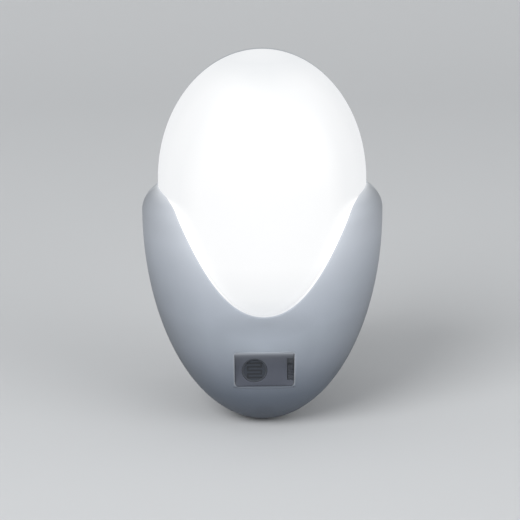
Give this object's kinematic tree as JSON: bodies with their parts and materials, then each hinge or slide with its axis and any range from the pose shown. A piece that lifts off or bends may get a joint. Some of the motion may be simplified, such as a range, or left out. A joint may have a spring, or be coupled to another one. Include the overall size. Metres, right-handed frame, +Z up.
{
  "type": "plug in night light",
  "caption": "Egg-shaped plug-in night light: a glowing lens in a cut-away cover, a light sensor and mode switch in a small window, and a two-pin plug behind.",
  "frame": {"origin": "on the flat back face of the rear housing, midway between the two plug pins; that face seats on the socket's plate", "axes": "+Y into the wall along the plug pins, +Z up towards the top of the lens, +X to the right for someone facing the lamp"},
  "size_m": [0.057, 0.0675, 0.0918],
  "materials": {
    "lens": "frosted, lit from behind",
    "cover": "fine matt texture",
    "housing": "fine matt texture",
    "panel": "matt",
    "pin_metal": "nickel plated",
    "sleeve": "satin",
    "retainer": "moulded",
    "brass": "stamped",
    "steel": "zinc plated",
    "solder": "tinned",
    "board": "lacquered",
    "lamp": "clear, lit",
    "film_case": "dipped",
    "can": "shrink sleeve",
    "resistor": "lacquered",
    "moulded_black": "moulded",
    "zener": "glass tube",
    "photocell": "resin coated",
    "light_seal": "satin",
    "track": "printed",
    "knob": "satin"
  },
  "bodies": {
    "lamp": {"lens": "lens", "front_cover": "cover", "rear_housing": "housing", "plug_pin_left": "pin_metal", "plug_pin_right": "pin_metal", "pin_sleeve_left": "sleeve", "pin_sleeve_right": "sleeve", "pin_retainer": "retainer", "retainer_screw": "steel", "contact_strip_left": "brass", "contact_strip_right": "brass", "circuit_board": "board", "board_screws": "steel", "cover_screw": "steel", "led_1": "lamp", "led_2": "lamp", "led_3": "lamp", "led_4": "lamp", "led_leads": "solder", "film_capacitor": "film_case", "smoothing_capacitor": "can", "inrush_resistor": "resistor", "bleeder_resistor": "resistor", "rectifier_diodes": "moulded_black", "zener_diode": "zener", "bias_resistors": "resistor", "transistors": "moulded_black", "component_leads": "solder", "sensor_holder": "panel", "holder_screws": "steel", "sensor_board": "board", "board_link_pins": "brass", "board_link_block": "moulded_black", "photocell": "photocell", "photocell_track": "track", "photocell_leads": "solder", "photocell_sleeve": "light_seal", "switch_frame": "steel", "switch_body": "moulded_black", "switch_terminals": "brass"},
    "knob": {"switch_knob": "knob", "switch_wiper": "brass"}
  },
  "joints": [
    {"name": "switch_slide", "type": "slide", "parent": "lamp", "child": "knob", "axis": [0, 0, 1], "range_m": [0, 0.0015]}
  ]
}
